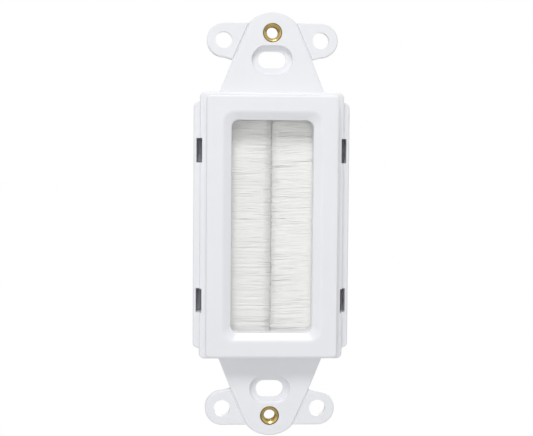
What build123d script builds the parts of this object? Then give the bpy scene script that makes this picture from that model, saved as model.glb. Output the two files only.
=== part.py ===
from build123d import *
import os
from math import cos, radians, tan

# Brush wall plate for a rectangular decorator opening. A one-piece front frame is screwed to
# a wall box through its strap. A rear frame clips in behind it and clamps two strip brushes,
# which meet in the middle of the window and let leads through.
# X runs to the right, Z up and -Y towards the room. The wall surface is Y = 0, and the origin
# lies midway between the two brass inserts. A level is a distance from the wall surface
# towards the room, so what lies inside the wall has a negative level.

os.makedirs("parts", exist_ok=True)

# Strap with its tapered ends and the four break-off ears
strap_end_margin = 5.08
strap_thickness = 2.4
strap_root_width = 26.4
strap_side_lean = 21.8
strap_tip_radius = 7.9
strap_edge_chamfer = 0.25
ear_hole_spacing_x = 24.3
ear_hole_spacing_z = 93.0
ear_hole_diameter = 4.15
ear_end_radius = 4.3
ear_flare = 0.6
score_lean = 24.2
score_width = 0.55
score_depth = 0.5
score_draft = 22.0
score_run_out = 0.5

# Screw positions: the cover plate's inserts and the wall box's slots
insert_spacing = 96.84
box_slot_spacing = 83.34
box_slot_length = 7.0
box_slot_width = 4.2
box_recess_length = 10.4
box_recess_width = 7.3
box_recess_depth = 1.4
box_recess_draft = 10.0

# Knurled brass inserts, number 6 thread, in a boss behind the strap
insert_diameter = 4.8
insert_bore = 2.9
insert_lead_in = 0.6
insert_rim = 0.8
insert_clearance = 0.02
knurl_count = 20
knurl_width = 0.3
knurl_depth = 0.25
boss_diameter = 7.6
boss_height = 0.8

# Bezel: the raised face stands on a low tier that shows as a step all round it
face_width = 32.9
face_height = 65.4
face_rise = 3.8
face_corner_radius = 1.1
face_edge_radius = 0.6
face_wall = 2.6
tier_border_side = 1.6
tier_border_end = 0.8
tier_rise = 2.0
tier_corner_radius = 1.4
tier_edge_radius = 0.5

# Side flanges, at the strap's level: wider than the tier, with ends that slope outwards
flange_border_side = 1.6
flange_setback_end = 1.5
flange_end_slope = 0.7
flange_corner_radius = 1.2

# Window through the face, with a wide, shallow bevel all round it
window_border_side = 6.2
window_border_end = 6.15
window_corner_radius = 1.9
window_bevel = 2.0
window_bevel_depth = 1.1
window_bevel_corner_radius = 2.8
window_bevel_rounding = 1.5
throat_wall = 1.6
throat_level = 3.0

# Skirt behind the flanges, with four windows for the snap hooks, each covered on the outside
skirt_setback_side = 0.75
skirt_setback_end = 0.8
skirt_wall = 1.45
skirt_depth = 7.0
skirt_corner_radius = 2.0
snap_spacing_z = 37.8
snap_window_height = 6.1
snap_window_depth = 3.4
snap_cover_wall = 0.6
snap_cover_margin = 0.8

# Rear frame that clips into the skirt
rear_clearance = 0.2
rear_wall = 1.6
rear_plate = 1.6
rear_collar_wall = 1.4
rear_window_margin = 0.5
hook_width = 5.7
hook_slot = 0.8
hook_thickness = 1.0
hook_barb = 1.35
hook_ramp = 1.2
hook_step = 0.35
hook_land = 0.4
hook_play = 0.1

# Strip brushes: a folded channel, a core wire and filaments folded over the wire
channel_cover = 0.8
channel_depth = 3.4
channel_thickness = 4.1
channel_sheet = 0.5
channel_bend_radius = 0.4
channel_side_clearance = 0.3
channel_end_clearance = 0.3
channel_seat_gap = 0.05
core_wire_diameter = 1.4
core_wire_clearance = 0.02
bristle_clearance = 0.05
bristle_end_margin = 0.2
bristle_gap = 0.45
tuft_pitch = 1.15
tuft_overlap = 0.1
tuft_corner = 0.4
tuft_tip_setbacks = (0.0, 0.16, 0.06, 0.26, 0.1)

# Places worked out from the sizes above
land_level = strap_thickness + tier_rise
face_level = land_level + face_rise
tier_width = face_width + 2 * tier_border_side
tier_height = face_height + 2 * tier_border_end
flange_width = tier_width + 2 * flange_border_side
flange_height = face_height - 2 * flange_setback_end
window_width = face_width - 2 * window_border_side
window_height = face_height - 2 * window_border_end
bevel_width = window_width + 2 * window_bevel
bevel_height = window_height + 2 * window_bevel
strap_height = insert_spacing + 2 * strap_end_margin
insert_z = insert_spacing / 2
box_slot_z = box_slot_spacing / 2
insert_length = strap_thickness + boss_height

lean = radians(strap_side_lean)
strap_root_z = tier_height / 2
strap_tip_z = strap_height / 2 - strap_tip_radius
ear_x = ear_hole_spacing_x / 2
ear_z = ear_hole_spacing_z / 2
ear_edge_z = ear_z - ear_end_radius
ear_foot_z = ear_edge_z - ear_flare
ear_foot_x = strap_root_width / 2 - (ear_foot_z - strap_root_z) * tan(lean)
ear_root_x = strap_root_width / 2 - (ear_z - strap_root_z) * tan(lean)
score_z = ear_z - ear_flare / 2
score_x = ear_foot_x - (score_z - ear_foot_z) * tan(radians(score_lean))
score_length = (2 * ear_end_radius + ear_flare + 2 * score_run_out) / cos(radians(score_lean))
flange_shoulder_z = flange_height / 2 - flange_end_slope

skirt_width = flange_width - 2 * skirt_setback_side
skirt_height = flange_height - 2 * skirt_setback_end
skirt_inner_width = skirt_width - 2 * skirt_wall
skirt_inner_height = skirt_height - 2 * skirt_wall
skirt_inner_radius = skirt_corner_radius - skirt_wall
snap_x = (skirt_width - skirt_wall) / 2
snap_cover_x = (skirt_width + snap_cover_wall) / 2
snap_cover_height = snap_window_height + 2 * snap_cover_margin
snap_cover_depth = snap_window_depth + snap_cover_margin

channel_inner_x = window_width / 2 + channel_cover
channel_outer_x = channel_inner_x + channel_depth
channel_length = skirt_inner_height - 2 * channel_end_clearance
channel_front_y = channel_seat_gap - throat_level
channel_mid_y = channel_front_y + channel_thickness / 2
channel_back_y = channel_front_y + channel_thickness
room_width = 2 * (channel_outer_x + channel_side_clearance)
throat_outer_x = window_width / 2 + throat_wall
pocket_width = room_width / 2 - throat_outer_x
pocket_x = throat_outer_x + pocket_width / 2
pocket_depth = face_level - face_wall - throat_level

rear_width = skirt_inner_width - 2 * rear_clearance
rear_height = skirt_inner_height - 2 * rear_clearance
rear_corner_radius = skirt_inner_radius
rear_window_width = window_width + 2 * rear_window_margin
rear_window_height = window_height + 2 * rear_window_margin
rear_front_level = -(channel_back_y + channel_seat_gap)
rear_plate_level = rear_plate - skirt_depth
rear_groove_depth = rear_front_level - rear_plate_level
rear_groove_width = (rear_width - rear_window_width) / 2 - rear_wall - rear_collar_wall
rear_groove_x = rear_window_width / 2 + rear_collar_wall + rear_groove_width / 2
rear_groove_height = rear_height - 2 * rear_wall
rear_wall_x = (rear_width - rear_wall) / 2
hook_relief = rear_wall - hook_thickness
hook_relief_x = (rear_width - hook_relief) / 2 - hook_thickness
hook_slot_offset = (hook_width + hook_slot) / 2
hook_catch_y = snap_window_depth - hook_play
hook_root_x = rear_width / 2
hook_step_x = hook_root_x + rear_clearance + hook_step
hook_front_y = hook_catch_y - hook_land

bristle_thickness = channel_thickness - 2 * (channel_sheet + bristle_clearance)
bristle_root_x = channel_outer_x - channel_sheet - bristle_clearance
bristle_height = channel_length - 2 * bristle_end_margin
core_wire_x = bristle_root_x - bristle_thickness / 2
core_hole_radius = core_wire_diameter / 2 + core_wire_clearance
tuft_height = tuft_pitch + tuft_overlap
tuft_count = int((bristle_height - tuft_height) / tuft_pitch) + 1
tuft_first_z = -(tuft_count - 1) * tuft_pitch / 2


# Front frame: strap, ears, flanges, bezel and skirt in one moulding
with BuildPart() as front_frame:
    # Flat plate, drawn for the upper half: half of the flanges, the tapered strap with its
    # round tip, and the ears across it, whose lower edges flare out towards the strap
    with BuildSketch(Plane.XZ) as plate:
        Polygon(
            (0, flange_height / 2),
            (-tier_width / 2, flange_height / 2),
            (-flange_width / 2, flange_shoulder_z),
            (-flange_width / 2, 0),
            (flange_width / 2, 0),
            (flange_width / 2, flange_shoulder_z),
            (tier_width / 2, flange_height / 2),
            align=None,
        )
        shoulders = plate.vertices().filter_by_position(
            Axis.Y, flange_shoulder_z, flange_shoulder_z
        )
        fillet(shoulders, radius=flange_corner_radius)
        Polygon(
            (-strap_root_width / 2, 0),
            (strap_root_width / 2, 0),
            (strap_root_width / 2, strap_root_z),
            (ear_root_x, ear_z),
            (-ear_root_x, ear_z),
            (-strap_root_width / 2, strap_root_z),
            align=None,
        )
        with Locations((0, strap_tip_z)):
            Circle(strap_tip_radius)
        with Locations((0, ear_z)):
            SlotCenterToCenter(ear_hole_spacing_x, 2 * ear_end_radius)
        Polygon(
            (-ear_x, ear_z),
            (-ear_x, ear_edge_z),
            (-ear_foot_x, ear_foot_z),
            (ear_foot_x, ear_foot_z),
            (ear_x, ear_edge_z),
            (ear_x, ear_z),
            align=None,
        )
        mirror(about=Plane.XZ)
    extrude(amount=strap_thickness)
    strap_front = front_frame.faces().sort_by(Axis.Y)[0]
    chamfer(strap_front.outer_wire().edges(), length=strap_edge_chamfer)

    # Low tier of the bezel, which starts at the wall
    with BuildSketch(Plane.XZ):
        RectangleRounded(tier_width, tier_height, tier_corner_radius)
    extrude(amount=land_level)
    tier_front = front_frame.faces().sort_by(Axis.Y)[0]
    fillet(tier_front.outer_wire().edges(), radius=tier_edge_radius)

    # Raised face
    with BuildSketch(Plane.XZ.offset(land_level)):
        RectangleRounded(face_width, face_height, face_corner_radius)
    extrude(amount=face_rise)
    face_front = front_frame.faces().sort_by(Axis.Y)[0]
    fillet(face_front.outer_wire().edges(), radius=face_edge_radius)

    # Skirt wall behind the flanges
    with BuildSketch(Plane.XZ.offset(-skirt_depth)):
        RectangleRounded(skirt_width, skirt_height, skirt_corner_radius)
        RectangleRounded(
            skirt_inner_width, skirt_inner_height, skirt_inner_radius, mode=Mode.SUBTRACT
        )
    extrude(amount=skirt_depth)

    # Covers outside the snap windows
    with BuildSketch(Plane.XZ.offset(-snap_cover_depth)):
        with GridLocations(2 * snap_cover_x, snap_spacing_z, 2, 2):
            Rectangle(snap_cover_wall, snap_cover_height)
    extrude(amount=snap_cover_depth)

    # Bosses round the inserts
    with BuildSketch(Plane.XZ.offset(-boss_height)):
        with Locations((0, insert_z), (0, -insert_z)):
            Circle(boss_diameter / 2)
    extrude(amount=boss_height)

    # Window, then its bevel, whose outer edge is rounded
    with BuildSketch(Plane.XZ):
        RectangleRounded(window_width, window_height, window_corner_radius)
    extrude(amount=face_level, mode=Mode.SUBTRACT)
    with BuildSketch(Plane.XZ.offset(face_level)):
        RectangleRounded(bevel_width, bevel_height, window_bevel_corner_radius)
    with BuildSketch(Plane.XZ.offset(face_level - window_bevel_depth)):
        RectangleRounded(window_width, window_height, window_corner_radius)
    loft(ruled=True, mode=Mode.SUBTRACT)
    face_front = front_frame.faces().sort_by(Axis.Y)[0]
    fillet(face_front.inner_wires()[0].edges(), radius=window_bevel_rounding)

    # Room for the strip brushes, and the cored-out space beside the throat
    with BuildSketch(Plane.XZ):
        Rectangle(room_width, skirt_inner_height)
    extrude(amount=throat_level, mode=Mode.SUBTRACT)
    with BuildSketch(Plane.XZ.offset(throat_level)):
        with Locations((pocket_x, 0), (-pocket_x, 0)):
            Rectangle(pocket_width, skirt_inner_height)
    extrude(amount=pocket_depth, mode=Mode.SUBTRACT)

    # Slots for the wall box's screws, each in a recess for the screw's head
    with BuildSketch(Plane.XZ.offset(strap_thickness)):
        with Locations((0, box_slot_z), (0, -box_slot_z)):
            SlotOverall(box_recess_length, box_recess_width)
    extrude(amount=-box_recess_depth, taper=box_recess_draft, mode=Mode.SUBTRACT)
    with BuildSketch(Plane.XZ):
        with Locations((0, box_slot_z), (0, -box_slot_z)):
            SlotOverall(box_slot_length, box_slot_width)
    extrude(amount=strap_thickness, mode=Mode.SUBTRACT)

    # Insert holes through the bosses, and the holes in the ears
    with BuildSketch(Plane.XZ.offset(-boss_height)):
        with Locations((0, insert_z), (0, -insert_z)):
            Circle(insert_diameter / 2 + insert_clearance)
    extrude(amount=insert_length, mode=Mode.SUBTRACT)
    with BuildSketch(Plane.XZ):
        with GridLocations(ear_hole_spacing_x, ear_hole_spacing_z, 2, 2):
            Circle(ear_hole_diameter / 2)
    extrude(amount=strap_thickness, mode=Mode.SUBTRACT)

    # Scored lines across the roots of the ears, where they break off
    with BuildSketch(Plane.XZ.offset(strap_thickness)):
        for side_x in (-score_x, score_x):
            for side_z in (-score_z, score_z):
                tilt = score_lean if side_x * side_z > 0 else -score_lean
                with Locations(Location((side_x, side_z), tilt)):
                    Rectangle(score_width, score_length)
    extrude(amount=-score_depth, taper=score_draft, mode=Mode.SUBTRACT)

    # Snap windows, open to the front through the flanges and the edge of the tier
    with BuildSketch(Plane.XZ.offset(-snap_window_depth)):
        with GridLocations(2 * snap_x, snap_spacing_z, 2, 2):
            Rectangle(skirt_wall, snap_window_height)
    extrude(amount=snap_window_depth + land_level, mode=Mode.SUBTRACT)
front_frame.part.label = "front_frame"
export_step(front_frame.part, "parts/front_frame.step")


# Rear frame: a collar that presses on the channels, and outer walls with four snap hooks
with BuildPart() as rear_frame:
    with BuildSketch(Plane.XZ.offset(-skirt_depth)):
        RectangleRounded(rear_width, rear_height, rear_corner_radius)
        Rectangle(rear_window_width, rear_window_height, mode=Mode.SUBTRACT)
    extrude(amount=skirt_depth + rear_front_level)

    # Groove between the collar and the outer wall on each side
    with BuildSketch(Plane.XZ.offset(rear_plate_level)):
        with Locations((rear_groove_x, 0), (-rear_groove_x, 0)):
            Rectangle(rear_groove_width, rear_groove_height)
    extrude(amount=rear_groove_depth, mode=Mode.SUBTRACT)

    # Slots that free the hooks, and the thinned inner side of each hook
    with BuildSketch(Plane.XZ.offset(rear_plate_level)):
        for slot_shift in (-hook_slot_offset, hook_slot_offset):
            with Locations((0, slot_shift)):
                with GridLocations(2 * rear_wall_x, snap_spacing_z, 2, 2):
                    Rectangle(rear_wall, hook_slot)
        with GridLocations(2 * hook_relief_x, snap_spacing_z, 2, 2):
            Rectangle(hook_relief, hook_width)
    extrude(amount=rear_groove_depth, mode=Mode.SUBTRACT)

    # Barbs with a stepped root, a ramp towards the room and a flat catch towards the wall
    for hook_z in (-snap_spacing_z / 2, snap_spacing_z / 2):
        with BuildSketch(Plane.XY.offset(hook_z - hook_width / 2)):
            Polygon(
                (hook_root_x, hook_front_y),
                (hook_step_x, hook_front_y),
                (hook_step_x, hook_front_y - hook_ramp),
                (hook_root_x + hook_barb, hook_front_y),
                (hook_root_x + hook_barb, hook_catch_y),
                (hook_root_x, hook_catch_y),
                align=None,
            )
            mirror(about=Plane.YZ)
        extrude(amount=hook_width)
rear_frame.part.label = "rear_frame"
export_step(rear_frame.part, "parts/rear_frame.step")


# Brass insert: a plain rim flush with the strap, a knurled body and a bore with a lead-in
def brass_insert(centre_z):
    """One insert, its axis along Y, at the given height."""
    with BuildPart() as insert:
        with BuildSketch(Plane.XZ.offset(strap_thickness - insert_rim)):
            with Locations((0, centre_z)):
                Circle(insert_diameter / 2)
        extrude(amount=insert_rim)
        with BuildSketch(Plane.XZ.offset(-boss_height)):
            with Locations((0, centre_z)):
                Circle(insert_diameter / 2)
                with PolarLocations(insert_diameter / 2, knurl_count):
                    Rectangle(2 * knurl_depth, knurl_width, mode=Mode.SUBTRACT)
        extrude(amount=insert_length - insert_rim)
        with BuildSketch(Plane.XZ.offset(-boss_height)):
            with Locations((0, centre_z)):
                Circle(insert_bore / 2)
        extrude(amount=insert_length, mode=Mode.SUBTRACT)
        bore_edges = insert.edges().filter_by(GeomType.CIRCLE).group_by(SortBy.RADIUS)[0]
        chamfer(bore_edges, length=insert_lead_in)
    return insert


for place, centre_z in (("top", insert_z), ("bottom", -insert_z)):
    insert = brass_insert(centre_z)
    insert.part.label = f"brass_insert_{place}"
    export_step(insert.part, f"parts/brass_insert_{place}.step")


# Strip brush parts, one set on each side of the window
def brush_channel(side):
    """Sheet metal folded to a U that opens towards the middle of the window."""
    with BuildPart() as channel:
        with BuildSketch(Plane.XY.offset(-channel_length / 2)):
            with Locations((side * (channel_inner_x + channel_depth / 2), channel_mid_y)):
                Rectangle(channel_depth, channel_thickness)
        extrude(amount=channel_length)
        back_corners = channel.edges().filter_by(Axis.Z).sort_by(Axis.X)
        back_corners = back_corners[-2:] if side > 0 else back_corners[:2]
        fillet(back_corners, radius=channel_bend_radius)
        with BuildSketch(Plane.XY.offset(-channel_length / 2)):
            with Locations(
                (side * (channel_inner_x + (channel_depth - channel_sheet) / 2), channel_mid_y)
            ):
                Rectangle(channel_depth - channel_sheet, channel_thickness - 2 * channel_sheet)
        extrude(amount=channel_length, mode=Mode.SUBTRACT)
    return channel


def brush_core_wire(side):
    """Straight wire inside the fold of the filaments."""
    with BuildPart() as wire:
        with BuildSketch(Plane.XY.offset(-channel_length / 2)):
            with Locations((side * core_wire_x, channel_mid_y)):
                Circle(core_wire_diameter / 2)
        extrude(amount=channel_length)
    return wire


def bristle_strip(side):
    """Filaments folded over the wire, in tufts whose tips end unevenly near the middle."""
    with BuildPart() as strip:
        with BuildSketch(Plane.XY.offset(-bristle_height / 2)):
            with Locations((side * core_wire_x, channel_mid_y)):
                Circle(bristle_thickness / 2)
            with Locations((side * (channel_inner_x + core_wire_x) / 2, channel_mid_y)):
                Rectangle(core_wire_x - channel_inner_x, bristle_thickness)
        extrude(amount=bristle_height)
        for phase, setback in enumerate(tuft_tip_setbacks):
            tip_x = bristle_gap / 2 + setback
            tuft_rows = range(phase, tuft_count, len(tuft_tip_setbacks))
            tuft_places = [(channel_mid_y, tuft_first_z + row * tuft_pitch) for row in tuft_rows]
            with BuildSketch(Plane.YZ.offset(side * tip_x)) as tuft_tips:
                with Locations(*tuft_places):
                    Rectangle(bristle_thickness, tuft_height)
                chamfer(tuft_tips.vertices(), length=tuft_corner)
            extrude(amount=side * (core_wire_x - tip_x))
        with BuildSketch(Plane.XY.offset(-bristle_height / 2)):
            with Locations((side * core_wire_x, channel_mid_y)):
                Circle(core_hole_radius)
        extrude(amount=bristle_height, mode=Mode.SUBTRACT)
    return strip


for place, side in (("left", -1), ("right", 1)):
    channel = brush_channel(side)
    channel.part.label = f"brush_channel_{place}"
    export_step(channel.part, f"parts/brush_channel_{place}.step")
    wire = brush_core_wire(side)
    wire.part.label = f"brush_core_wire_{place}"
    export_step(wire.part, f"parts/brush_core_wire_{place}.step")
    strip = bristle_strip(side)
    strip.part.label = f"bristles_{place}"
    export_step(strip.part, f"parts/bristles_{place}.step")
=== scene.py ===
from math import cos, pi, radians, sin

import bpy
import numpy as np
from mathutils import Matrix, Vector


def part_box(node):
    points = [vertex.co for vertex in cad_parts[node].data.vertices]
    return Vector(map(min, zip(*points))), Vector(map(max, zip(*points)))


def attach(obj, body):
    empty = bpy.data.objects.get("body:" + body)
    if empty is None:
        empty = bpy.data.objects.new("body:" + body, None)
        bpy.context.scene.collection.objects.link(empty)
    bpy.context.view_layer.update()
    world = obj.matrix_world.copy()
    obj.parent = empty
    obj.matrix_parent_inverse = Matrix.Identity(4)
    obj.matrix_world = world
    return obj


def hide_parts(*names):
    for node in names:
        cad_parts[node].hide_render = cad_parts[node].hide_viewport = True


# Brush wall plate: a white moulded frame whose rounded window is closed by two facing strips
# of nylon filaments, with threaded brass inserts in the ends of its screw strap.
# X runs to the right, Z up and -Y towards the room. All lengths are in metres.

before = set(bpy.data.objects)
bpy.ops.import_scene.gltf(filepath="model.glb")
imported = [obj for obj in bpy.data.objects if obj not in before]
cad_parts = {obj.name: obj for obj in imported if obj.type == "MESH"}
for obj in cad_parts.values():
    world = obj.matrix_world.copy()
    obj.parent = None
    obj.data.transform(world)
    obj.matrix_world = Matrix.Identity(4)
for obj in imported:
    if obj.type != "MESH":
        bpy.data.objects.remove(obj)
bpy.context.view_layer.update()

MM = 0.001
rng = np.random.default_rng(83)

# Camera: the place and angle that the straight edges and holes of the photograph ask for
IMAGE_WIDTH_PX = 533
FOCAL_LENGTH_PX = 1271.0
SENSOR_WIDTH_MM = 36.0
CAMERA_AZIMUTH = -3.3
CAMERA_ELEVATION = 3.3
CAMERA_ROLL = 0.455
CAMERA_DISTANCE = 320.0 * MM
CAMERA_TARGET = Vector((-1.19 * MM, -3.0 * MM, 1.98 * MM))
CAMERA_CLIP_START = 10 * MM

# Light: an even white room, a soft box high up in front, a weak one on the left, a weak one
# straight in front, which reaches into the recesses, and one behind for the plate's back.
# Each box has its direction from the plate, its distance, its size and its power in watts.
ROOM_LEVEL = 0.445
KEY_BOX = (Vector((-0.12, -0.90, 1.05)), 0.9, 0.28, 3.6)
SIDE_BOX = (Vector((-0.50, -0.82, 0.10)), 1.0, 0.6, 0.75)
FRONT_BOX = (Vector((0.0, -1.0, 0.15)), 1.2, 0.5, 0.45)
BACK_BOX = (Vector((0.45, 0.90, 0.35)), 1.0, 0.8, 3.4)

# Floor, far enough below the plate to leave it alone
FLOOR_Z = -0.28
FLOOR_HALF_WIDTH = 8.0
FLOOR_NEAR = 0.45
FLOOR_FAR = 0.95
FLOOR_NEAR_GLOW = 0.19

# Filaments: nylon, folded in a U over the core wire, so each one has a front and a rear leg.
# A layer of 1 lies on the brush's face and one of 0 beside the wire. In a pair, the value of
# -1 is for the left strip, or for the front leg, and that of 1 is for the other.
FILAMENTS_PER_STRIP = 1950
FILAMENT_DIAMETER = 0.20 * MM
FOLD_RADIUS_INNER = 0.80 * MM
FOLD_RADIUS_OUTER = 1.38 * MM
FOLD_STEPS = 4
LEG_STEPS = (0.0, 0.18, 0.45, 0.75, 1.0)
STRIP_END_MARGIN = 0.15 * MM
LAYER_CROWDING = 0.18
GOLDEN_SHARE = 0.618034
DEPTH_SCATTER = 0.03 * MM
# A leg has spread to its full depth at 1 / SPREAD_PACE of its way from the wire
SPREAD_PACE = 1.6
TIP_GAP = 0.38 * MM
TIP_SCATTER = 0.03 * MM
TIP_SINK = 0.5 * MM
TIP_SINK_SHARE = {-1: 0.5, 1: 0.6}
TIP_DRIFT = 0.24 * MM
TIP_DROOP = {-1: 0.15 * MM, 1: 0.65 * MM}
# Layers below the limit reach past the middle, in full once they are INNER_BLEND below it
INNER_TIP_REACH = 0.30 * MM
INNER_LIMIT = 0.90
INNER_BLEND = 0.2
STRAY_SHARE = 0.02
STRAY_REACH = 0.55 * MM
STRAY_LEAST_SHARE = 0.3
# Tufts are a few filaments that keep together, and a lean runs through whole centimetres
TUFT_WAVELENGTHS = (1.3 * MM, 2.1 * MM, 3.7 * MM)
TUFT_LAYER_SHIFT = 0.9 * MM
TUFT_DRIFT = 0.06 * MM
LEAN_WAVELENGTHS = (7.0 * MM, 13.0 * MM, 31.0 * MM)
LEAN_DRIFT = 0.22 * MM
BOW_SCATTER = 0.11 * MM
BOW_LEAN = 0.12 * MM
LOWER_END_START = -12.0 * MM
LOWER_END_LENGTH = 14.0 * MM
LOWER_END_SINK = 0.7 * MM
LOWER_END_RELIEF = 0.30 * MM

# Brass insert: number 6 thread, 32 turns to the inch
THREAD_PITCH = 25.4 / 32 * MM
THREAD_MINOR_RADIUS = 1.45 * MM
THREAD_MAJOR_RADIUS = 1.75 * MM
# The groove is a wave made steeper and lowered by a share, which leaves flat crests and roots
GROOVE_STEEPNESS = 1.5
GROOVE_FLAT_SHARE = 0.25
MOUTH_RADIUS = 2.08 * MM
MOUTH_DEPTH = 0.40 * MM
MOUTH_CURVE = 1.1
RIM_ROUNDING = 0.16 * MM
RIM_HEIGHT = 0.80 * MM
KNURL_TEETH = 20
KNURL_DEPTH = 0.24 * MM
KNURL_RUN_IN = 0.05 * MM
KNURL_END_MARGIN = 0.25 * MM
REAR_CHAMFER = 0.15 * MM
REAR_FACE_INSET = 0.3 * MM
REAR_MOUTH_SIZE = 0.1 * MM
INSERT_TURN_STEPS = 120
BORE_ROWS = 46
MOUTH_ROWS = 8
RIM_ROWS = 5

# Turned brass: real feed marks are about 0.05 mm apart, too fine to show, so these are wider.
# Painted shade: the brown at its outer rim stands in for the gap's shadow, and starts and is full
# at these shares of the outer radius.
INSERT_RADIUS = 2.4 * MM
FEED_MARK_SPACING = 0.15 * MM
RIM_SHADE_START = 0.87
RIM_SHADE_FULL = 0.95
# A wave texture of scale 1 has 20 bands in a length of 2 pi
WAVE_BANDS_PER_LENGTH = 20 / (2 * pi)

# Moulded ABS and zinc-plated steel: the real sizes of their patterns
FLOW_MARK_SIZE = 14 * MM
SKIN_RIPPLE_SIZE = 0.9 * MM
ROLLING_LINE_WIDTH = 0.12 * MM
ROLLING_LINE_LENGTH = 6 * MM
ZINC_CLOUD_SIZE = 5 * MM

# Drawn nylon: how many tones there are among a strip's filaments, and along one of them
TONES_ACROSS_STRIP = 900.0
TONES_ALONG_FILAMENT = 5.0


def linear(hex_colour):
    """Turns an sRGB hex colour such as F1F2F5 into linear red, green, blue and alpha."""
    levels = [int(hex_colour[place:place + 2], 16) / 255 for place in (0, 2, 4)]
    return (*(v / 12.92 if v <= 0.04045 else ((v + 0.055) / 1.055) ** 2.4 for v in levels), 1.0)


def add(tree, kind, settings=None, links=None, **properties):
    """Adds a node with its own properties, the values of its inputs, and its links."""
    made = tree.nodes.new(kind)
    for name, value in properties.items():
        setattr(made, name, value)
    for socket, value in (settings or {}).items():
        made.inputs[socket].default_value = value
    for socket, source in (links or {}).items():
        tree.links.new(source, made.inputs[socket])
    return made


def new_material(name, settings):
    """An empty material with one Principled shader, whose plain settings are given."""
    material = bpy.data.materials.new(name)
    material.use_nodes = True
    tree = material.node_tree
    tree.nodes.clear()
    surface = add(tree, "ShaderNodeBsdfPrincipled", settings)
    add(tree, "ShaderNodeOutputMaterial", links={"Surface": surface.outputs[0]})
    return material, tree, surface


def moulded_abs():
    """White ABS, injection moulded in a polished tool.

    It is opaque with a soft gloss. Its slow flow marks change the tone by a hair, and a faint
    ripple of the skin breaks up the reflections.
    """
    material, tree, surface = new_material(
        "moulded_abs", {"IOR": 1.53, "Metallic": 0.0}
    )
    place = add(tree, "ShaderNodeTexCoord")
    flow = add(
        tree, "ShaderNodeTexNoise",
        {"Scale": 1 / FLOW_MARK_SIZE, "Detail": 3.0, "Roughness": 0.5},
        {"Vector": place.outputs["Object"]},
    )
    tone = add(
        tree, "ShaderNodeMix",
        {6: linear("EFF0F4"), 7: linear("F4F5F8")},
        {0: flow.outputs["Fac"]}, data_type="RGBA",
    )
    skin = add(
        tree, "ShaderNodeTexNoise",
        {"Scale": 1 / SKIN_RIPPLE_SIZE, "Detail": 2.0, "Roughness": 0.45},
        {"Vector": place.outputs["Object"]},
    )
    gloss = add(
        tree, "ShaderNodeMapRange", {"To Min": 0.27, "To Max": 0.38},
        {"Value": skin.outputs["Fac"]},
    )
    ripple = add(
        tree, "ShaderNodeBump", {"Strength": 0.6, "Distance": 0.012 * MM},
        {"Height": skin.outputs["Fac"]},
    )
    tree.links.new(tone.outputs[2], surface.inputs["Base Color"])
    tree.links.new(gloss.outputs[0], surface.inputs["Roughness"])
    tree.links.new(ripple.outputs[0], surface.inputs["Normal"])
    return material


def nylon_filament():
    """Drawn nylon, as in strip brushes: slightly warm white with a satin skin.

    Each filament has its own tone, from the first coordinate of its UV map, and the tone
    drifts a little along its length, from the second.
    """
    material, tree, surface = new_material("nylon_filament", {
        "IOR": 1.53, "Metallic": 0.0, "Roughness": 0.36, "Sheen Weight": 0.4,
        "Sheen Roughness": 0.4,
    })
    place = add(tree, "ShaderNodeUVMap", uv_map="strand")
    apart = add(
        tree, "ShaderNodeMapping", {"Scale": (TONES_ACROSS_STRIP, TONES_ALONG_FILAMENT, 1.0)},
        {"Vector": place.outputs[0]},
    )
    grain = add(
        tree, "ShaderNodeTexNoise", {"Scale": 1.0, "Detail": 2.0, "Roughness": 0.6},
        {"Vector": apart.outputs[0]}, noise_dimensions="2D",
    )
    spread = add(
        tree, "ShaderNodeMapRange", {"From Min": 0.3, "From Max": 0.7},
        {"Value": grain.outputs["Fac"]},
    )
    tone = add(
        tree, "ShaderNodeMix",
        {6: linear("FAFAF7"), 7: linear("FFFFFD")},
        {0: spread.outputs[0]}, data_type="RGBA",
    )
    tree.links.new(tone.outputs[2], surface.inputs["Base Color"])
    return material


def zinc_plated_steel():
    """Cold-rolled steel strip and wire with bright zinc plating.

    It is a cool grey metal with fine rolling lines along its length and cloudy patches.
    """
    material, tree, surface = new_material("zinc_plated_steel", {"Metallic": 1.0})
    place = add(tree, "ShaderNodeTexCoord")
    along = add(
        tree, "ShaderNodeMapping",
        {"Scale": (1 / ROLLING_LINE_WIDTH, 1 / ROLLING_LINE_WIDTH, 1 / ROLLING_LINE_LENGTH)},
        {"Vector": place.outputs["Object"]},
    )
    lines = add(
        tree, "ShaderNodeTexNoise", {"Scale": 1.0, "Detail": 3.0}, {"Vector": along.outputs[0]}
    )
    clouds = add(
        tree, "ShaderNodeTexNoise", {"Scale": 1 / ZINC_CLOUD_SIZE, "Detail": 2.0},
        {"Vector": place.outputs["Object"]},
    )
    tone = add(
        tree, "ShaderNodeMix",
        {6: linear("A9ADB1"), 7: linear("C9CCCE")},
        {0: clouds.outputs["Fac"]}, data_type="RGBA",
    )
    gloss = add(
        tree, "ShaderNodeMapRange", {"To Min": 0.25, "To Max": 0.45},
        {"Value": lines.outputs["Fac"]},
    )
    scratches = add(
        tree, "ShaderNodeBump", {"Strength": 0.5, "Distance": 0.004 * MM},
        {"Height": lines.outputs["Fac"]},
    )
    tree.links.new(tone.outputs[2], surface.inputs["Base Color"])
    tree.links.new(gloss.outputs[0], surface.inputs["Roughness"])
    tree.links.new(scratches.outputs[0], surface.inputs["Normal"])
    return material


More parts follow.
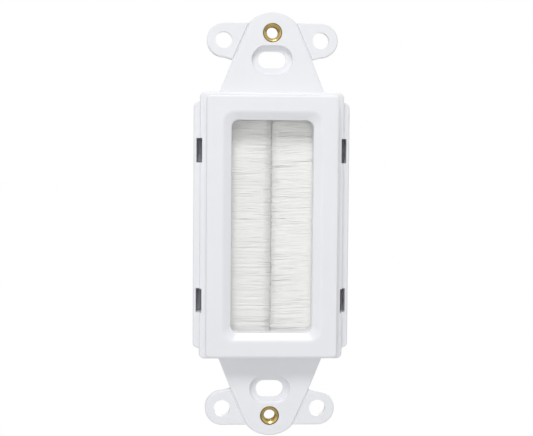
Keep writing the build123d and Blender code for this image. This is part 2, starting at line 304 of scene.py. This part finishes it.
def turned_brass():
    """Free-cutting brass, turned on a lathe.

    Bright yellow metal with fine rings from the tool, and a brown painted shade at its outer rim
    that stands in for the shadow in the gap where it meets the plastic.
    The piece's UV map gives the share of a turn and the share of the outer radius.
    """
    material, tree, surface = new_material("turned_brass", {"Metallic": 1.0})
    place = add(tree, "ShaderNodeUVMap", uv_map="turn")
    parts = add(tree, "ShaderNodeSeparateXYZ", links={"Vector": place.outputs[0]})
    rings_per_radius = INSERT_RADIUS / FEED_MARK_SPACING
    rings = add(
        tree, "ShaderNodeTexWave",
        {"Scale": rings_per_radius / WAVE_BANDS_PER_LENGTH, "Distortion": 0.3},
        {"Vector": place.outputs[0]}, wave_type="BANDS", bands_direction="Y",
    )
    # Painted shade: towards the outer rim the brass darkens to brown, in place of the shadow in
    # the gap around the insert
    rim_shade = add(
        tree, "ShaderNodeMapRange", {"From Min": RIM_SHADE_START, "From Max": RIM_SHADE_FULL},
        {"Value": parts.outputs["Y"]}, interpolation_type="SMOOTHSTEP",
    )
    tone = add(
        tree, "ShaderNodeMix",
        {6: linear("BAA266"), 7: linear("6E5C32")},
        {0: rim_shade.outputs[0]}, data_type="RGBA",
    )
    gloss = add(
        tree, "ShaderNodeMapRange", {"To Min": 0.18, "To Max": 0.30},
        {"Value": rings.outputs["Fac"]},
    )
    grooves = add(
        tree, "ShaderNodeBump", {"Strength": 0.5, "Distance": 0.006 * MM},
        {"Height": rings.outputs["Fac"]},
    )
    tree.links.new(tone.outputs[2], surface.inputs["Base Color"])
    tree.links.new(gloss.outputs[0], surface.inputs["Roughness"])
    tree.links.new(grooves.outputs[0], surface.inputs["Normal"])
    return material


def grid_piece(name, points, quads, uv_name, uv, material):
    """A mesh piece from arrays: corner places, four corners a face, and one UV pair a corner."""
    mesh = bpy.data.meshes.new(name)
    mesh.from_pydata(points.reshape(-1, 3).tolist(), [], quads.tolist())
    layer = mesh.uv_layers.new(name=uv_name)
    layer.data.foreach_set("uv", uv.reshape(-1, 2)[quads.ravel()].ravel())
    mesh.shade_smooth()
    mesh.materials.append(material)
    piece = bpy.data.objects.new(name, mesh)
    bpy.context.scene.collection.objects.link(piece)
    return piece


def dress(node_name, material):
    """Puts a finish on a CAD node's own material slots."""
    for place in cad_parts[node_name].material_slots:
        place.material = material


def smooth_field(places, wavelengths):
    """A smooth random curve over places: a sum of sines with the given wavelengths.

    Each sine has a random phase, and the sum is scaled to stay between about -1 and 1.
    """
    total = np.zeros_like(places)
    for wavelength in wavelengths:
        total += np.sin(2 * pi * places / wavelength + rng.uniform(0, 2 * pi))
    return total / len(wavelengths)


def filament_paths(side):
    """Centre lines of one strip's filaments, as an array of filament, point and axis.

    A filament starts at its front tip near the middle of the window, runs back to the core
    wire, goes round it in a half circle and returns to its rear tip. Its fold radius sets its
    layer: a large radius lies at the front and back faces of the brush and a small one beside
    the wire. Past the wire each leg spreads by a smooth step of its reach, so that the layers
    fill the whole thickness, and towards the tips it sinks again with the square of its reach.
    Most filaments lie in the outer layers, and the inner ones reach past the middle, where
    they close the gap between the strips. Towards the strip's lower end the legs also sink
    with the square of the distance, and unevenly, in tufts. Along Z a leg drifts in proportion
    to its reach and bows by a half sine, both partly with its neighbours.
    """
    low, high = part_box("bristles_left" if side < 0 else "bristles_right")
    wire_low, wire_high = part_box("brush_core_wire_left" if side < 0 else "brush_core_wire_right")
    wire_x = (wire_low.x + wire_high.x) / 2
    middle_y = (low.y + high.y) / 2
    count = FILAMENTS_PER_STRIP
    half_height = (high.z - low.z) / 2 - STRIP_END_MARGIN
    spot = (np.arange(count) + rng.uniform(0, 1, count)) / count
    root_z = (2 * spot - 1) * half_height
    layer = (np.arange(count) * GOLDEN_SHARE % 1) ** LAYER_CROWDING
    fold_radius = FOLD_RADIUS_INNER + (FOLD_RADIUS_OUTER - FOLD_RADIUS_INNER) * layer
    share = np.array(LEG_STEPS)

    legs = []
    for facing in (-1, 1):
        # share runs from 0 at the tip to 1 at the wire, and reach from 1 at the tip to 0
        reach = 1 - share
        spread = layer * (high.y - low.y - FILAMENT_DIAMETER) / 2
        inner = np.clip((INNER_LIMIT - layer) / INNER_BLEND, 0, 1)
        tip = TIP_GAP / 2 - INNER_TIP_REACH * inner + np.abs(rng.normal(0, TIP_SCATTER, count))
        stray = rng.uniform(0, 1, count) < STRAY_SHARE
        stray_length = rng.uniform(STRAY_LEAST_SHARE, 1, count) * STRAY_REACH
        tip = np.where(stray, tip - stray_length, tip)
        x = side * tip[:, None] + (wire_x - side * tip[:, None]) * share
        ease = np.clip(reach * SPREAD_PACE, 0, 1)
        ease = ease * ease * (3 - 2 * ease)
        depth = fold_radius[:, None] + (spread - fold_radius)[:, None] * ease
        depth = depth - np.abs(rng.normal(0, DEPTH_SCATTER, count))[:, None] * ease
        depth = depth - TIP_SINK * (layer * TIP_SINK_SHARE[facing])[:, None] * reach**2
        tuft = smooth_field(root_z + layer * TUFT_LAYER_SHIFT, TUFT_WAVELENGTHS)
        lean = smooth_field(root_z, LEAN_WAVELENGTHS)
        lower_end = np.clip((LOWER_END_START - root_z) / LOWER_END_LENGTH, 0, 1)
        sunk = LOWER_END_SINK * lower_end**2 * layer
        sunk = sunk + LOWER_END_RELIEF * lower_end * (1 + tuft) / 2
        depth = depth - sunk[:, None] * ease
        jitter = rng.normal(0, TIP_DRIFT, count)
        drift = TUFT_DRIFT * tuft + LEAN_DRIFT * lean + jitter - TIP_DROOP[side]
        bow = rng.normal(0, BOW_SCATTER, count) + BOW_LEAN * lean
        z = root_z[:, None] + drift[:, None] * reach + bow[:, None] * np.sin(pi * reach)
        z = np.clip(z, -half_height, half_height)
        legs.append(np.stack([x, middle_y + facing * depth, z], axis=-1))

    turn = np.linspace(-pi / 2, pi / 2, FOLD_STEPS + 1)[1:-1]
    fold_x = wire_x + side * fold_radius[:, None] * np.cos(turn)
    fold_y = middle_y + fold_radius[:, None] * np.sin(turn)
    fold_z = np.repeat(root_z[:, None], len(turn), axis=1)
    fold = np.stack([fold_x, fold_y, fold_z], axis=-1)
    return np.concatenate([legs[0], fold, legs[1][:, ::-1]], axis=1)


def brush_filaments(name, side, material):
    """All filaments of one strip as four-sided rods along their centre lines.

    A corner lies at its path's point, plus the filament's radius along one of the four
    directions square to the path: the one nearest to Z, the one across both, and their
    opposites. The rods are closed with a square at each tip.
    """
    paths = filament_paths(side)
    count, steps, _ = paths.shape
    along = np.gradient(paths, axis=1)
    along /= np.linalg.norm(along, axis=-1, keepdims=True)
    across = np.cross(along, np.array([0.0, 0.0, 1.0]))
    across /= np.linalg.norm(across, axis=-1, keepdims=True)
    upward = np.cross(across, along)
    ring = np.stack([across, upward, -across, -upward], axis=2)
    corners = paths[:, :, None, :] + FILAMENT_DIAMETER / 2 * ring

    sides = ring.shape[2]
    first = np.arange(count)[:, None] * steps * sides
    corner = np.arange(sides)
    ring_start = (first + np.arange(steps - 1) * sides)[..., None]
    this = ring_start + corner
    following = ring_start + (corner + 1) % sides
    walls = np.stack([this, following, following + sides, this + sides], axis=-1)
    front_tips = first + corner[::-1]
    rear_tips = first + (steps - 1) * sides + corner
    quads = np.concatenate([walls.reshape(-1, 4), front_tips, rear_tips])

    own_tone = np.repeat(rng.uniform(0, 1, count), steps * sides)
    length = np.tile(np.repeat(np.linspace(0, 1, steps), sides), count)
    uv = np.stack([own_tone, length], axis=-1)
    return grid_piece(name, corners, quads, "strand", uv, material)


def threaded_insert(name, node_name, material):
    """A brass insert, as a profile of radius and depth carried round the axis of its bore.

    The profile goes up the bore from the wall side, out over the mouth and the flat front,
    round the rim, back along the knurled body and over the rear face. The mouth is a cone
    whose depth is a low power of the width that is left. In the bore the radius grows from the
    minor to the major radius by a clipped triangle wave of depth less the share of a turn,
    which makes one helical groove, and in the knurl it drops by the positive half of a cosine
    of the angle in each of the teeth's gaps.
    """
    low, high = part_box(node_name)
    centre_z = (low.z + high.z) / 2
    outer = (high.x - low.x) / 2
    front, back = low.y, high.y
    bore_y = np.linspace(back - REAR_MOUTH_SIZE, front + MOUTH_DEPTH, BORE_ROWS)
    mouth = np.linspace(0, 1, MOUTH_ROWS)[1:]
    rim = np.linspace(0, pi / 2, RIM_ROWS)[1:]
    knurl_start = front + RIM_HEIGHT
    # The outside from the rim to the rear face, as depth, radius and share of the knurl
    outside = np.array([
        (knurl_start, outer, 0.0),
        (knurl_start + KNURL_RUN_IN, outer, 1.0),
        (back - KNURL_END_MARGIN, outer, 1.0),
        (back - REAR_CHAMFER, outer - REAR_CHAMFER, 0.0),
        (back, outer - REAR_FACE_INSET, 0.0),
        (back, THREAD_MINOR_RADIUS + REAR_MOUTH_SIZE, 0.0),
    ])
    depth = np.concatenate([
        bore_y,
        front + MOUTH_DEPTH * (1 - mouth) ** MOUTH_CURVE,
        [front],
        front + RIM_ROUNDING * (1 - np.cos(rim)),
        outside[:, 0],
    ])
    radius = np.concatenate([
        np.full(BORE_ROWS, THREAD_MINOR_RADIUS),
        THREAD_MINOR_RADIUS + (MOUTH_RADIUS - THREAD_MINOR_RADIUS) * mouth,
        [outer - RIM_ROUNDING],
        outer - RIM_ROUNDING * (1 - np.sin(rim)),
        outside[:, 1],
    ])
    in_bore = np.zeros(len(depth))
    in_bore[1:BORE_ROWS - 1] = 1.0
    on_knurl = np.zeros(len(depth))
    on_knurl[-len(outside):] = outside[:, 2]

    turn = np.arange(INSERT_TURN_STEPS) / INSERT_TURN_STEPS
    wave = np.abs(2 * ((depth[None, :] / THREAD_PITCH - turn[:, None]) % 1) - 1)
    groove = np.clip(wave * GROOVE_STEEPNESS - GROOVE_FLAT_SHARE, 0, 1)
    groove = groove * (THREAD_MAJOR_RADIUS - THREAD_MINOR_RADIUS)
    teeth = np.clip(np.cos(2 * pi * KNURL_TEETH * turn), 0, 1)[:, None] * KNURL_DEPTH
    radii = radius + groove * in_bore - teeth * on_knurl
    angle = 2 * pi * turn[:, None]
    points = np.stack([
        radii * np.cos(angle),
        np.broadcast_to(depth, radii.shape),
        centre_z + radii * np.sin(angle),
    ], axis=-1)

    rows, columns = radii.shape
    row = np.arange(rows)[:, None]
    column = np.arange(columns)
    next_row = (row + 1) % rows
    next_column = (column + 1) % columns
    quads = np.stack([
        row * columns + column,
        next_row * columns + column,
        next_row * columns + next_column,
        row * columns + next_column,
    ], axis=-1).reshape(-1, 4)
    uv = np.stack([np.broadcast_to(turn[:, None], radii.shape), radii / outer], axis=-1)
    return grid_piece(name, points, quads, "turn", uv, material)


def light_the_room():
    """A plain white world. What the camera and reflections see has strength 1, which is white,
    and the light that falls on the plate is a little lower."""
    world = bpy.data.worlds.new("white_room")
    bpy.context.scene.world = world
    world.use_nodes = True
    tree = world.node_tree
    tree.nodes.clear()
    path = add(tree, "ShaderNodeLightPath")
    seen = add(
        tree, "ShaderNodeMath", links={
            0: path.outputs["Is Camera Ray"], 1: path.outputs["Is Glossy Ray"],
        }, operation="MAXIMUM",
    )
    seen_through = add(
        tree, "ShaderNodeMath", links={
            0: seen.outputs[0], 1: path.outputs["Is Transmission Ray"],
        }, operation="MAXIMUM",
    )
    level = add(
        tree, "ShaderNodeMapRange", {"To Min": ROOM_LEVEL, "To Max": 1.0},
        {"Value": seen_through.outputs[0]},
    )
    sky = add(
        tree, "ShaderNodeBackground", {"Color": (1, 1, 1, 1)}, {"Strength": level.outputs[0]}
    )
    add(tree, "ShaderNodeOutputWorld", links={"Surface": sky.outputs[0]})


def hang_soft_box(name, towards, distance, size, power):
    """A square soft box that points at the middle of the plate."""
    lamp = bpy.data.lights.new(name, "AREA")
    lamp.shape = "SQUARE"
    lamp.size = size
    lamp.energy = power
    soft_box = bpy.data.objects.new(name, lamp)
    bpy.context.scene.collection.objects.link(soft_box)
    direction = towards.normalized()
    turn = direction.to_track_quat("Z", "Y").to_matrix().to_4x4()
    soft_box.matrix_world = Matrix.Translation(direction * distance) @ turn


def lay_floor():
    """A matt white floor. Near the plate it shows the plate's soft shadow, and further away
    the camera sees it as plain white, like the room."""
    material = bpy.data.materials.new("white_floor")
    material.use_nodes = True
    tree = material.node_tree
    tree.nodes.clear()
    place = add(tree, "ShaderNodeTexCoord")
    distance = add(
        tree, "ShaderNodeVectorMath", links={0: place.outputs["Object"]}, operation="LENGTH"
    )
    far = add(
        tree, "ShaderNodeMapRange", {"From Min": FLOOR_NEAR, "From Max": FLOOR_FAR},
        {"Value": distance.outputs["Value"]}, interpolation_type="SMOOTHSTEP",
    )
    path = add(tree, "ShaderNodeLightPath")
    white = add(tree, "ShaderNodeBsdfDiffuse", {"Color": linear("F2F2F2")})
    glow = add(
        tree, "ShaderNodeEmission", {"Color": (1, 1, 1, 1), "Strength": FLOOR_NEAR_GLOW}
    )
    near = add(tree, "ShaderNodeAddShader", links={0: white.outputs[0], 1: glow.outputs[0]})
    plain = add(tree, "ShaderNodeEmission", {"Color": (1, 1, 1, 1), "Strength": 1.0})
    seen = add(
        tree, "ShaderNodeMixShader",
        links={0: far.outputs[0], 1: near.outputs[0], 2: plain.outputs[0]},
    )
    floor_look = add(
        tree, "ShaderNodeMixShader",
        links={0: path.outputs["Is Camera Ray"], 1: white.outputs[0], 2: seen.outputs[0]},
    )
    add(tree, "ShaderNodeOutputMaterial", links={"Surface": floor_look.outputs[0]})
    reach = FLOOR_HALF_WIDTH
    mesh = bpy.data.meshes.new("floor")
    mesh.from_pydata(
        [(-reach, -reach, FLOOR_Z), (reach, -reach, FLOOR_Z), (reach, reach, FLOOR_Z),
         (-reach, reach, FLOOR_Z)], [], [(0, 1, 2, 3)],
    )
    mesh.materials.append(material)
    floor = bpy.data.objects.new("floor", mesh)
    bpy.context.scene.collection.objects.link(floor)


def place_camera():
    """The photograph's camera, by its azimuth, elevation and roll about its target."""
    azimuth = radians(CAMERA_AZIMUTH)
    elevation = radians(CAMERA_ELEVATION)
    roll = radians(CAMERA_ROLL)
    back = Vector((sin(azimuth) * cos(elevation), -cos(azimuth) * cos(elevation), sin(elevation)))
    level = Vector((cos(azimuth), sin(azimuth), 0.0))
    upright = back.cross(level)
    right = cos(roll) * level + sin(roll) * upright
    up = cos(roll) * upright - sin(roll) * level
    lens = bpy.data.cameras.new("camera")
    lens.sensor_fit = "HORIZONTAL"
    lens.sensor_width = SENSOR_WIDTH_MM
    lens.lens = FOCAL_LENGTH_PX / IMAGE_WIDTH_PX * SENSOR_WIDTH_MM
    lens.clip_start = CAMERA_CLIP_START
    camera = bpy.data.objects.new("camera", lens)
    bpy.context.scene.collection.objects.link(camera)
    turn = Matrix((right, up, back)).transposed().to_4x4()
    camera.matrix_world = Matrix.Translation(CAMERA_TARGET + CAMERA_DISTANCE * back) @ turn
    bpy.context.scene.camera = camera


white_plastic = moulded_abs()
filament = nylon_filament()
zinc = zinc_plated_steel()
brass = turned_brass()

for node_name in ("front_frame", "rear_frame"):
    dress(node_name, white_plastic)
for node_name in (
    "brush_channel_left", "brush_channel_right", "brush_core_wire_left", "brush_core_wire_right"
):
    dress(node_name, zinc)

for place, side in (("left", -1), ("right", 1)):
    strip = brush_filaments(f"filaments_{place}", side, filament)
    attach(strip, "root")
    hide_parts(f"bristles_{place}")

for place in ("top", "bottom"):
    insert = threaded_insert(f"threaded_insert_{place}", f"brass_insert_{place}", brass)
    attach(insert, "root")
    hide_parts(f"brass_insert_{place}")

light_the_room()
hang_soft_box("key_box", *KEY_BOX)
hang_soft_box("side_box", *SIDE_BOX)
hang_soft_box("front_box", *FRONT_BOX)
hang_soft_box("back_box", *BACK_BOX)
lay_floor()
place_camera()
bpy.context.scene.view_settings.view_transform = "Standard"
